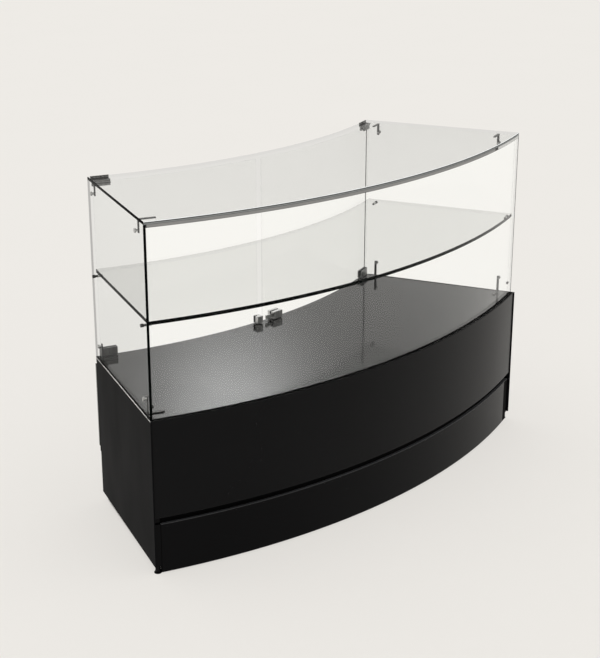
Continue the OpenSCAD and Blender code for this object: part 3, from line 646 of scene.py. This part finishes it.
# the plinth's top is a painted highlight; its ends and the last steps of its face at the right end
# are painted shade
sheet("plinth_front", BOARD_EDGE, [plinth_black, edge_band, recess_black],
      {"top": 1, "tail": 3}, (2, 2))
sheet("plinth_rear", BOARD_EDGE, [carcass_black], {}, (0, 0))
sheet("deck", BOARD_EDGE, [deck_black], {}, (0, 0))
for side, hand in HANDS:
    plate("side_cladding_" + hand, side, CLAD_EDGE, [cladding_black, bright_trim],
          {"top": 1}, (0, 0))
    door("storage_door_" + hand, side, BOARD_EDGE, [panel_black], {}, (0, 0))

# %% [markdown]
# The bottom board stops a few millimetres short of the front panel, and through that slit light
# would fall into the storage space. A soft black strip behind the groove closes it, as it does on a
# real cabinet. It is a thin slab along the same arc, so the function for curved slabs makes it too.

# %% Close the slit
SEAL_PLAY, SEAL_LAP, SEAL_EDGE = 0.0002, 0.008, 0.0004
board_ring, panel_ring = ring_of("bottom_board"), ring_of("front_panel")
seal_ring = [board_ring[1] + SEAL_PLAY, panel_ring[0] - SEAL_PLAY,
             board_ring[3] - SEAL_LAP, panel_ring[2] + SEAL_LAP]
seal_end = float(inward(node_points("carcass_side_right"), 1)[0].max()) + SEAL_PLAY
# the seal's near-black is painted shade, the dark of the groove
seal = curved_slab("groove_seal", seal_ring, (-HALF_ANGLE, seal_end), (HALF_ANGLE, seal_end),
                   SEAL_EDGE, [recess_black], {}, (0, 0))
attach(seal, BODY_OF["front_panel"])
print("seal:", seal_ring)

# %% [markdown]
# ## The glass case
# The top, the shelf and the front pane run along the arc, the side panes stand on the ends and the
# two doors meet at the rear. A cut edge may differ from its neighbours, because what lies behind it
# differs: the foot of the front pane stands on black, and the rear rims are seen against the floor.

# %% Glaze the case
PANE_EDGE, ARRIS_EDGE = 0.0007, 0.0016
# the top's upper arris is a painted highlight, and its front edge carries a painted view of the
# rail
sheet("glass_top", ARRIS_EDGE, [pane_level, pane_edge, lip_edge, pane_arris],
      {"inner": 1, "outer": 2, "arris": 3}, (1, 1))
sheet("glass_shelf", PANE_EDGE, [pane_level, pane_edge], {"inner": 1, "outer": 1}, (1, 1))
sheet("glass_front", PANE_EDGE, [pane_front, pane_edge, pane_foot],
      {"top": 1, "bottom": 2}, (1, 1))
plate("glass_side_left", -1, PANE_EDGE, [pane_side, pane_edge, left_rim], {"bottom": 1}, (2, 1))
plate("glass_side_right", 1, PANE_EDGE, [pane_door, pane_edge, right_rim], {"bottom": 1}, (2, 2))
for side, hand in HANDS:
    door("glass_door_" + hand, side, PANE_EDGE, [pane_door, door_edge],
         {"top": 1, "bottom": 1}, (1, 1))

# %% [markdown]
# ## Front feet
# A levelling foot is turned from steel: a pad with a rounded rim, a hexagon for the spanner, a
# collar and a threaded stem. It could be put together from cylinders, but here it is one surface:
# the radius is a function of the height and of the angle, so the hexagon is simply a stretch of
# heights where the radius follows six flats.

# %% Turn the feet
FOOT_SIDES = 60
SHARP_TURN = math.radians(30)
HEX_FLAT, ON_HEX = 0.0065, 0.0
FOOT_RINGS = (  # level and radius of each ring; ON_HEX marks those that follow the flats
    (0.0, 0.0092), (0.0006, 0.01),  # the rim's underside
    (0.0022, 0.01), (0.003, 0.0093),  # the rim's upper side
    (0.0032, ON_HEX), (0.009, ON_HEX),  # hexagon
    (0.0093, 0.0068), (0.0212, 0.0068), (0.0215, 0.0064),  # collar
    (0.0216, 0.004), (0.046, 0.004), (0.0475, 0.0034),  # stem
)
foot_level, foot_radius = np.array(FOOT_RINGS).T


def turned_foot(node):
    """Foot with radius r(z, a): the ring's own, and on the hexagon HEX_FLAT / cos(a'), where a' is
    the angle from the middle of the nearest flat."""
    low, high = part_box(node)
    a = np.linspace(0, 2 * np.pi, FOOT_SIDES, endpoint=False)
    flats = HEX_FLAT / np.cos((a + np.pi / 6) % (np.pi / 3) - np.pi / 6)
    r = np.where(foot_radius[:, None] > ON_HEX, foot_radius[:, None], flats)
    out = np.stack([np.cos(a) + 0 * r, np.sin(a) + 0 * r, 0 * r], -1)
    level = low.z + np.minimum(foot_level, high.z - low.z)[:, None] + 0 * r
    axis = np.stack([(low.x + high.x) / 2 + 0 * r, (low.y + high.y) / 2 + 0 * r, level], -1)
    piece = grid_mesh("turned_" + node, out * r[..., None] + axis, out, [black_steel])[0]
    piece.data.set_sharp_from_angle(angle=SHARP_TURN)
    stand_for(piece, node)


turned_foot("foot_front_left")
turned_foot("foot_front_right")
print("feet turned, radius", foot_radius.max())

# %% [markdown]
# ## Finishes of the packed pieces
# The fittings keep their packed shapes, and each one gets the finish of what it is made of. A table
# from finish to names is the shortest way to say it. What it doesn't name is satin steel.

# %% Dress the fittings
FITTINGS = {
    carcass_black: ["centre_partition"],
    plinth_black: ["carcass_side_left", "carcass_side_right"],
    # the bottom board behind the groove is painted shade
    recess_black: ["bottom_board"],
    rail_metal: ["light_rail"],
    pale_plastic: ["light_filler", "light_strip", "light_diffuser", "stud_sleeves"],
    dark_plastic: ["light_end_caps", "plinth_legs", "deck_bushes", "plate_bushes",
                   "storage_bushes"],
    black_steel: ["foot_rear_left", "foot_rear_right", "clamp_screws_left", "clamp_screws_right",
                  "lock_plug"],
    bracket_steel: ["brackets_left", "brackets_right", "shelf_studs", "corner_connectors"],
    clamp_steel: ["clamp_low_left", "clamp_low_right", "clamp_high_left", "clamp_high_right",
                  "hinge_plate_left", "hinge_plate_right"],
}
dressed = {n for names in FITTINGS.values() for n in names}
replaced = {n for o in scene.objects if "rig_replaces" in o for n in o["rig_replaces"]}
FITTINGS[satin_steel] = sorted(set(frame["nodes"]) - dressed - replaced)
for finish, names in FITTINGS.items():
    for name in names:
        frame["nodes"][name].data.materials.clear()
        frame["nodes"][name].data.materials.append(finish)
print("steel fittings:", FITTINGS[satin_steel])

# %% [markdown]
# ## What a ray shows
# In a light tent the floor and the sky have one tone. Behind the panes that tone is painted a
# little whiter, painted light that shows only where the background is seen through glass. More
# lamps would change the object too, so the background answers to the kind of ray that meets it:
# one from the camera, off a gloss or through glass shows the tone, any other the light.

# %% Tones of the background
# the second tone is painted light: a whiter background wherever it is seen through a pane
TENT_TONE, PAINTED_BEHIND_GLASS = rgb(238, 235, 230), rgb(255, 253, 250)
SHOWING_RAYS = ("Is Camera Ray", "Is Glossy Ray", "Is Transmission Ray")


def clamped(f, value):
    """The value held between 0 and 1."""
    return f.node("ShaderNodeClamp", inputs={"Value": value})


def shown(f):
    """1 for rays that show the background: from the camera, off a gloss or through clear glass."""
    camera_ray, gloss, glass = (f.node("ShaderNodeLightPath", out=kind) for kind in SHOWING_RAYS)
    return clamped(f, camera_ray + gloss + glass)


def painted_behind_glass(f, kind, plain, behind):
    """A glow in one tone, or in a whiter one where it is seen through a pane: painted light."""
    through = clamped(f, f.node("ShaderNodeLightPath", out="Transparent Depth"))
    return f.node("ShaderNodeMixShader", inputs={
        "Fac": through, 1: f.node(kind, inputs={"Color": plain}),
        2: f.node(kind, inputs={"Color": behind})})


print("background tone:", tuple(round(c, 3) for c in TENT_TONE))

# %% [markdown]
# ## Floor
# The cabinet stands on a wide pale floor. Lit by the sky alone its shadow would be heavy, so the
# floor also glows in its own tone, but not beneath the cabinet: there the glow is masked off, and
# the real shade shows at full depth inside a painted shadow of the plan's shape. That place is the
# plan's own ring sector: a mask on the distance from the arc centre and on the angle.

# %% Floor finish
FLOOR_SHADE, FLOOR_GLOW = rgb(236, 233, 228), 0.7
END_MARGIN, EDGE_MARGIN = 0.006, 0.012
_, clad_ray = inward(clad, 1)
MID_RADIUS = float(clad_ray.max() + clad_ray.min()) / 2
HALF_DEPTH = float(np.ptp(clad_ray)) / 2 - EDGE_MARGIN

f = Finish("floor_pale")
paint = f.node("ShaderNodeBsdfPrincipled", inputs={
    "Base Color": f.blend(f.span(f.noise(scale=1.5, detail=3), 0, 1), TENT_TONE, FLOOR_SHADE),
    "Roughness": f.span(f.noise(scale=40, detail=2), 0.85, 0.95), "Specular IOR Level": 0.0})
plan = f.node("ShaderNodeVectorMath", {"operation": "SUBTRACT"}, {
    0: f.node("ShaderNodeTexCoord", out="Object"), 1: (0, ARC_Y, 0)})
off_arc = f.node("ShaderNodeVectorMath", {"operation": "LENGTH"}, {0: plan}, out="Value")
across = f.node("ShaderNodeVectorMath", {"operation": "DOT_PRODUCT"},
                {0: plan, 1: (0, -1, 0)}, out="Value")
in_ring = f.node("ShaderNodeMath", {"operation": "COMPARE"},
                 {0: off_arc, 1: MID_RADIUS, 2: HALF_DEPTH})
in_ends = f.node("ShaderNodeMath", {"operation": "GREATER_THAN"}, {
    0: across - math.cos(HALF_ANGLE - END_MARGIN) * off_arc, 1: 0.0})
# painted shadow: the glow is masked off over the plan's ring sector, so the floor under the cabinet
# is dark in its shape
floor_pale = f.close(f.node("ShaderNodeMixShader", inputs={
    "Fac": shown(f) * FLOOR_GLOW * (1 - in_ring * in_ends), 1: paint,
    2: painted_behind_glass(f, "ShaderNodeEmission", TENT_TONE, PAINTED_BEHIND_GLASS)}))
painted_shadow_ring = (MID_RADIUS - HALF_DEPTH, MID_RADIUS + HALF_DEPTH)
print("dark between the radii", tuple(round(r, 3) for r in painted_shadow_ring))

# %% [markdown]
# The floor itself is one flat square, so wide that no view finds its end.

# %% Floor
FLOOR_SIZE = 60.0
floor_mesh = bpy.data.meshes.new("floor")
floor_corners = np.array([(-1, -1, 0), (1, -1, 0), (1, 1, 0), (-1, 1, 0)]) * FLOOR_SIZE / 2
floor_mesh.from_pydata(floor_corners.tolist(), [], [(0, 1, 2, 3)])
floor_mesh.materials.append(floor_pale)
floor = bpy.data.objects.new("floor", floor_mesh)
scene.collection.objects.link(floor)
print("floor:", FLOOR_SIZE, "m wide")

# %% [markdown]
# ## Sky
# The sky is even and white, but for one soft lamp behind the case: its mirror image is the bright
# patch on the deck's front left. A lamp that far away is just a direction, so no lamp object is
# needed: its share is worked out from the angle to it, exp(-(angle / spread)^2 / 2). The camera and
# mirrors see the floor's own tone.

# %% Sky
LAMP_AZIMUTH, LAMP_HEIGHT, LAMP_SPREAD = (math.radians(a) for a in (42.0, 23.0, 2.1))
SKY_LEVEL, LAMP_LEVEL = 1.0, 4.3
WHITE = (1, 1, 1, 1)

sky = Finish(bpy.data.worlds.new("tent"))
lamp = (math.sin(LAMP_AZIMUTH) * math.cos(LAMP_HEIGHT),
        math.cos(LAMP_AZIMUTH) * math.cos(LAMP_HEIGHT), math.sin(LAMP_HEIGHT))
near = sky.node("ShaderNodeVectorMath", {"operation": "DOT_PRODUCT"}, {
    0: sky.node("ShaderNodeTexCoord", out="Generated"), 1: lamp}, out="Value")
falloff = sky.node("ShaderNodeMath", {"operation": "EXPONENT"}, {
    0: (near - 1) * (1 / LAMP_SPREAD**2)})
even = sky.node("ShaderNodeBackground", inputs={"Color": WHITE, "Strength": SKY_LEVEL})
bright = sky.node("ShaderNodeBackground", inputs={"Color": WHITE, "Strength": LAMP_LEVEL})
tent = sky.node("ShaderNodeMixShader", inputs={
    "Fac": shown(sky), 1: even,
    2: painted_behind_glass(sky, "ShaderNodeBackground", TENT_TONE, PAINTED_BEHIND_GLASS)})
off_camera = 1 - sky.node("ShaderNodeLightPath", out="Is Camera Ray")
scene.world = sky.close(sky.node("ShaderNodeMixShader", inputs={
    "Fac": falloff * off_camera, 1: tent, 2: bright}))
print("sky lamp towards", tuple(round(c, 3) for c in lamp))

# %% [markdown]
# ## Camera
# The camera's place, turn and focal length were found by fitting the plan's arcs and uprights to
# the photograph. It could be aimed by eye, but a fit gets every edge at once. Its place is given
# from the arc centre, so it follows the frame.

# %% Camera
CAMERA_FROM_ARC = Vector((-2.8288, -4.4890, 1.8579))
YAW, PITCH, ROLL = (math.radians(a) for a in (44.98, 19.51, 0.074))
FOCAL_PIXELS, LONG_SIDE = 1437.95, 658
camera_data = bpy.data.cameras.new("camera")
camera_data.sensor_width = 36.0
camera_data.lens = camera_data.sensor_width * FOCAL_PIXELS / LONG_SIDE
camera = bpy.data.objects.new("camera", camera_data)
scene.collection.objects.link(camera)
place = Matrix.Translation(CAMERA_FROM_ARC + Vector((0, ARC_Y, 0)))
turn = Matrix.Rotation(-YAW, 4, "Z") @ Matrix.Rotation(math.pi / 2 - PITCH, 4, "X")
camera.matrix_world = place @ (turn @ Matrix.Rotation(ROLL, 4, "Z"))
scene.camera = camera
print("camera at", tuple(round(c, 3) for c in camera.location), "lens", round(camera_data.lens, 2))

# %% [markdown]
